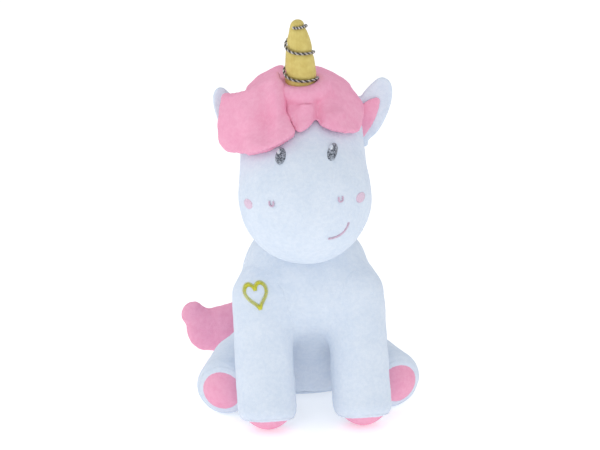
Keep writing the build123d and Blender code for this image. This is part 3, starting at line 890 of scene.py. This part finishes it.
class PLUSH_OT_ears(bpy.types.Operator):
    """Sew the two ears, each a cupped leaf with a pink lining"""
    bl_idname = "plush.ears"
    bl_label = "Ears"

    def execute(self, context):
        for side in SIDES:
            for part, cloth, grain in (("back", "white_plush", 1.1), ("lining", "pink_plush", 0.9)):
                ear = skin_of(f"ear_{part}_skin_{side}", f"ear_{part}_{side}")
                local = head_local(points_of(ear))
                out = np.abs(local[:, 0]) - EAR_ROOT
                if part == "lining":
                    out = (out - 8.0) * 1.25 + 1.0
                    local[:, 2] = EAR_LOW + (local[:, 2] - LINING_LOW) * 1.05
                local[:, 2] = EAR_LOW + (local[:, 2] - EAR_LOW) * EAR_TALLER
                local[:, 0] = SIDES[side] * (EAR_ROOT + out * (1.0 if side == "left" else 0.8))
                set_points(ear, in_head_many(local))
                remesh(ear, grain)
                relax(ear, 8)
                nap(ear, 0.06)
                dress(ear, cloth)
                ride_on(ear, f"ear_{side}", f"ear_{part}_{side}")
        return {"FINISHED"}


def horn_frame(sizes):
    """The horn's root and its three directions: along, to the toy's left and ahead."""
    way = unit(HEAD_Z * cos(sizes.horn_lean) - HEAD_Y * sin(sizes.horn_lean))
    return pivot("horn_tilt"), way, HEAD_X, np.cross(HEAD_X, way)


HORN_LEVELS = (0.0, 20 * MM, 38 * MM, 50 * MM, 60 * MM)     # heights where the horn's width is set
HORN_WIDTHS = (0.9, 0.94, 1.0, 1.12, 1.3)     # the width there against its CAD width
CORD_ENDS = (-0.3, 2.1)     # the cord's ends in turns, counted from its first crossing in front
CORD_FIRST, CORD_PITCH = 17.5 * MM, 20.5 * MM     # height of that crossing and rise of one turn
CORD_TOP = 56.0 * MM     # highest level of the cord
CORD_SLACK = 0.55     # how much flatter the cord runs in front than behind
CORD_TWISTS = 18     # twists of the two strands in one turn
CORD_STRAND = 0.6     # a strand's radius, and its distance from the cord's middle, against the cord's


class PLUSH_OT_horn(bpy.types.Operator):
    """Sew the stuffed gold horn and wind its metallic cord"""
    bl_idname = "plush.horn"
    bl_label = "Horn"

    def execute(self, context):
        sizes = context.scene.plush_head
        root, way, side, ahead = horn_frame(sizes)
        horn = skin_of("horn_skin", "horn_cover")
        remesh(horn, 0.9)
        relax(horn, 6)
        levels = points_of(horn)
        height = (levels - root) @ way
        wider = np.interp(height, HORN_LEVELS, HORN_WIDTHS)
        levels = root + np.outer(height, way) + (levels - root - np.outer(height, way)) * wider[:, None]
        set_points(horn, levels)
        rings = np.arange(0, sizes.horn_length, 1.5 * MM)
        away = np.linalg.norm(levels - root - np.outer(height, way), axis=1)
        radii = [away[abs(height - ring) < 1.2 * MM].mean() for ring in rings]

        def wound(turn, twist, spread):
            """A point of a strand of the cord on the horn's skin."""
            slack = CORD_SLACK * sin(2 * pi * turn) / (2 * pi)
            level = min(CORD_FIRST + CORD_PITCH * (turn - slack), CORD_TOP)
            angle = -pi / 2 - 2 * pi * turn
            out = side * cos(angle) + ahead * -sin(angle)
            reach = np.interp(level, rings, radii) + sizes.cord_radius * (0.7 + spread * cos(twist))
            return root + way * (level + spread * sizes.cord_radius * sin(twist)) + out * reach

        dark, bright = [[wound(turn, pi * strand + 2 * pi * CORD_TWISTS * turn, CORD_STRAND)
                         for turn in np.linspace(*CORD_ENDS, 1000)]
                        for strand in range(2)]
        cord = tubes("horn_cord_dark_strand", [dark], CORD_STRAND * sizes.cord_radius)
        gleam = tubes("horn_cord_bright_strand", [bright], CORD_STRAND * sizes.cord_radius)
        line = np.array([wound(turn, 0.0, 0.0) for turn in np.linspace(*CORD_ENDS, 240)])
        near = np.array([np.linalg.norm(line - p, axis=1).min() for p in levels])
        press = 1.0 * MM * np.exp(-(near / (2.2 * MM)) ** 2)
        set_points(horn, levels - press[:, None] * normals_of(horn))
        dress(horn, "gold_satin")
        ride_on(horn, "horn", "horn_cover", "horn_filling")
        dress(cord, "metallic_cord")
        ride_on(cord, "horn", "horn_cord")
        dress(gleam, "bright_cord")
        ride_on(gleam, "horn")
        return {"FINISHED"}


def pinch(piece, spots):
    """Raise or press spots of a skin, each given as x, z, half width, half height and rise."""
    co = points_of(piece)
    local, out = head_local(co), normals_of(piece)
    front = np.clip(-(out @ HEAD_Y) + 0.3 * (out @ HEAD_Z), 0, 1)
    for x, z, wide, tall, height in spots:
        near = np.exp(-((local[:, 0] - x) / wide) ** 2 - ((local[:, 2] - z) / tall) ** 2)
        co = co + (near * front * height * MM)[:, None] * out
    set_points(piece, co)


def horn_roll(sizes):
    """The roll of cloth that the forelock makes round the horn's root."""
    root, way, side, ahead = horn_frame(sizes)
    bpy.ops.object.select_all(action="DESELECT")
    bpy.ops.mesh.primitive_torus_add(major_radius=sizes.horn_radius + 2 * MM, minor_radius=6 * MM,
                                     location=root + way * 7.5 * MM,
                                     rotation=Vector(way).to_track_quat("Z", "Y").to_euler())
    roll = bpy.context.active_object
    bpy.ops.object.transform_apply(location=True, rotation=True, scale=True)
    return roll


class PLUSH_OT_mane(bpy.types.Operator):
    """Sew the forelock with its flap and the mane down the nape"""
    bl_idname = "plush.mane"
    bl_label = "Forelock and mane"

    def execute(self, context):
        spots = {
            "forelock": ((4.0, 114.5, 6.0, 4.5, 5.0), (25.0, 106.5, 6.5, 4.5, 4.5),
                         (13.5, 110.0, 2.6, 9.0, -5.5), (36.0, 104.0, 3.5, 13.0, -2.0),
                         (-4.0, 104.0, 3.0, 9.0, -2.0)),
            "forelock_flap": ((-15.0, 114.0, 3.5, 14.0, 3.5), (-25.0, 110.0, 4.5, 18.0, -3.0),
                              (-37.0, 106.0, 6.0, 14.0, 2.5), (-30.0, 92.0, 14.0, 3.0, 1.5)),
            "forelock_underlayer": (),
            "mane": (),
        }
        for number, (node, places) in enumerate(spots.items()):
            cloth = skin_of(f"{node}_cloth", node)
            if node == "forelock":
                join([cloth, horn_roll(context.scene.plush_head)])
            remesh(cloth, 1.3)
            relax(cloth, 16)
            co = points_of(cloth)
            set_points(cloth, co + 1.2 * MM * normals_of(cloth))
            pinch(cloth, places)
            ripple(cloth, 22.0, 0.5, 0.9 * number)
            relax(cloth, 2)
            nap(cloth, 0.05)
            dress(cloth, "pink_plush")
            ride_on(cloth, "head", node)
        return {"FINISHED"}


class PLUSH_OT_tail(bpy.types.Operator):
    """Sew the stuffed pink tail with its edge seam"""
    bl_idname = "plush.tail"
    bl_label = "Tail"

    def execute(self, context):
        root = pivot("tail_wag")
        balls = ((0.0, 0.0, 9.0), (-24.0, 0.0, 17.0), (-44.0, -7.0, 22.0), (-63.0, -6.0, 17.5),
                 (-74.5, 8.0, 10.5))
        centres = [np.array((x, 0.0, z)) * MM for x, z, radius in balls]
        radii = [radius * MM for x, z, radius in balls]
        swing, flat = radians(10.0), 0.42
        turned = np.array(((cos(swing), sin(swing), 0), (-sin(swing), cos(swing), 0), (0, 0, 1)))

        def skin(p):
            q = (p - root) @ turned.T / np.array((1.0, flat, 1.0))
            away = taper(q, centres[0], centres[1], radii[0], radii[1])
            for start in range(1, 4):
                link = taper(q, centres[start], centres[start + 1], radii[start], radii[start + 1])
                away = soft_union(away, link, 5 * MM)
            return away * 0.6

        links = [hull("tail_skin", [(Vector(centres[n]), radii[n]), (Vector(centres[n + 1]), radii[n + 1])])
                 for n in range(4)]
        tail = join(links)
        set_points(tail, (points_of(tail) * np.array((1.0, flat, 1.0))) @ turned + root)
        remesh(tail, 1.6)
        settle(tail, skin, 8)
        groove(tail, lambda p: ((p - root) @ turned.T)[:, 1], 1.0 * MM, 0.8 * MM)
        swell(tail, 2.0, 2.0)
        ripple(tail, 26.0, 0.7)
        nap(tail, 0.08)
        dress(tail, "pink_plush")
        ride_on(tail, "tail", "tail_cover", "tail_filling")
        return {"FINISHED"}


FACE_RISE = 2.6     # how far the face's threads sit above the middle of their CAD patches
EYES_MIDDLE, EYES_APART, EYES_UP = 3.5, 18.4, 81.4     # the eyes' places in the head's frame
NOSTRILS_MIDDLE, NOSTRILS_APART, NOSTRILS_UP = 1.3, 24.4, 50.5     # the nostrils' places
CHEEKS_APART, CHEEKS_UP = 40.0, 48.0     # the cheeks' places


def face_rungs(centre, half_width, half_height, pitch, tilt=0.0):
    """Rungs across an oval on the face, from top to bottom."""
    centre = (centre[0], centre[1] + FACE_RISE)
    rungs = []
    for z in np.arange(-half_height + pitch / 2, half_height, pitch):
        reach = half_width * np.sqrt(1 - (z / half_height) ** 2)
        across = np.array((cos(tilt), sin(tilt))) * reach
        rungs.append((in_head(centre[0] - across[0], FACE_LINE, centre[1] + z - across[1]),
                      in_head(centre[0] + across[0], FACE_LINE, centre[1] + z + across[1])))
    return rungs


def path_rungs(path, width):
    """Short rungs across a path of (x, z) points."""
    path = np.array(path)
    ways = np.gradient(path, axis=0)
    ways /= np.linalg.norm(ways, axis=1, keepdims=True)
    across = np.stack([-ways[:, 1], ways[:, 0]], 1) * width / 2
    return path - across, path + across


def line_rungs(path, width):
    """Short rungs across a path on the face, set in the head's frame."""
    low, high = path_rungs(path, width)
    return [(in_head(a[0], FACE_LINE, a[1]), in_head(b[0], FACE_LINE, b[1])) for a, b in zip(low, high)]


class PLUSH_OT_embroidery(bpy.types.Operator):
    """Stitch the eyes, glints, nostrils, mouth, cheeks and the heart"""
    bl_idname = "plush.embroidery"
    bl_label = "Embroidery"

    def execute(self, context):
        sizes = context.scene.plush_head

        def skin(p):
            return head_ball(p, sizes)

        def sew(name, rungs, node, slot, lift, radius):
            piece = satin(name, rungs, skin, HEAD_Y, lift * MM, radius * MM)
            dress(piece, slot)
            ride_on(piece, "head", node)

        for side, sign in SIDES.items():
            eye = (EYES_MIDDLE + EYES_APART * sign, EYES_UP)
            sew(f"eye_threads_{side}", face_rungs(eye, 4.0, 4.5, 0.4, 0.35), f"eye_{side}",
                "grey_thread", 1.0, 0.27)
            spot = (eye[0] - 1.0, eye[1] + 2.2)
            sew(f"glint_threads_{side}", face_rungs(spot, 1.4, 1.4, 0.35), f"eye_glint_{side}",
                "white_thread", 1.6, 0.25)
            sew(f"cheek_threads_{side}", face_rungs((CHEEKS_APART * sign, CHEEKS_UP), 3.2, 3.4, 0.45),
                f"cheek_{side}", "cheek_thread", 0.35, 0.3)
            angles = np.linspace(pi, 2 * pi, 10)
            arm = [(-1.4, z) for z in np.linspace(2.0, 0.3, 5)]
            loop = arm + [(1.4 * cos(a), 1.3 * sin(a)) for a in angles] + [(-x, z) for x, z in reversed(arm)]
            loop = [(NOSTRILS_MIDDLE + NOSTRILS_APART * sign + x, NOSTRILS_UP + FACE_RISE + z) for x, z in loop]
            sew(f"nostril_threads_{side}", line_rungs(loop, 0.9), f"nostril_{side}", "lilac_thread", 0.8, 0.26)
        share = np.linspace(0, 1, 36)
        curve = [((1 - t) ** 2 * 15.5 + 2 * t * (1 - t) * 26.5 + t * t * 30.4,
                  FACE_RISE + (1 - t) ** 2 * 22.8 + 2 * t * (1 - t) * 21.9 + t * t * 32.4) for t in share]
        sew("mouth_threads", line_rungs(curve, 1.4), "mouth_stitch", "lilac_thread", 0.5, 0.27)

        leg = next(limb for limb in limbs(context.scene.plush_body) if limb.name == "front_leg_right")
        body = context.scene.plush_body

        def sleeve(p):
            return soft_union(trunk(p, body), leg.shape(p), leg.fold)

        low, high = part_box("heart_stitch")
        centre = np.array(((low.x + high.x) / 2, (low.z + high.z) / 2 + 3 * MM))
        size = (high.z - low.z) / 2 * 0.98
        angles = np.linspace(0, 2 * pi, 76)[:-1]
        tilt = radians(14.0)
        outline = []
        for a in np.append(angles, angles[0]):
            x, z = 0.9 * sin(a) ** 3, (13 * cos(a) - 5 * cos(2 * a) - 2 * cos(3 * a) - cos(4 * a)) / 14.5
            x, z = x * cos(tilt) - z * sin(tilt), x * sin(tilt) + z * cos(tilt)
            outline.append((centre[0] + x * size, centre[1] + z * size))
        low, high = path_rungs(outline, 2.3 * MM)
        rungs = [(np.array((a[0], leg.root[1], a[1])), np.array((b[0], leg.root[1], b[1])))
                 for a, b in zip(low, high)]
        heart = satin("heart_threads", rungs, sleeve, -AHEAD, 0.7 * MM, 0.36 * MM)
        dress(heart, "yellow_thread")
        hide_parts("heart_stitch")
        leg.root - leg.way * 6 * MM
        leg.root + leg.way * 34 * MM
        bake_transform(heart)
        return {"FINISHED"}


OPERATORS = (PLUSH_OT_camera, PLUSH_OT_stage, PLUSH_OT_cloths, PLUSH_OT_body, PLUSH_OT_legs, PLUSH_OT_head,
             PLUSH_OT_ears, PLUSH_OT_horn, PLUSH_OT_mane, PLUSH_OT_tail, PLUSH_OT_embroidery)


class PLUSH_PT_panel(bpy.types.Panel):
    """Buttons and sizes of the plush unicorn"""
    bl_idname = "PLUSH_PT_panel"
    bl_label = "Plush unicorn"
    bl_space_type = "VIEW_3D"
    bl_region_type = "UI"
    bl_category = "Plush"

    def draw(self, context):
        for group in GROUPS:
            for name in getattr(context.scene, group).bl_rna.properties.keys():
                if name not in ("rna_type", "name"):
                    self.layout.prop(getattr(context.scene, group), name)
        for operator in OPERATORS:
            self.layout.operator(operator.bl_idname)


GROUPS = {"plush_body": PlushBodySizes, "plush_head": PlushHeadSizes, "plush_colours": PlushColours}


def register():
    for group in GROUPS.values():
        bpy.utils.register_class(group)
    for name, group in GROUPS.items():
        setattr(bpy.types.Scene, name, bpy.props.PointerProperty(type=group))
    for each in OPERATORS + (PLUSH_PT_panel,):
        bpy.utils.register_class(each)


def unregister():
    for each in (PLUSH_PT_panel,) + OPERATORS:
        bpy.utils.unregister_class(each)
    for name, group in GROUPS.items():
        delattr(bpy.types.Scene, name)
        bpy.utils.unregister_class(group)


def main():
    register()
    for operator in OPERATORS:
        getattr(bpy.ops.plush, operator.bl_idname.split(".")[1])()


if __name__ == "__main__":
    main()
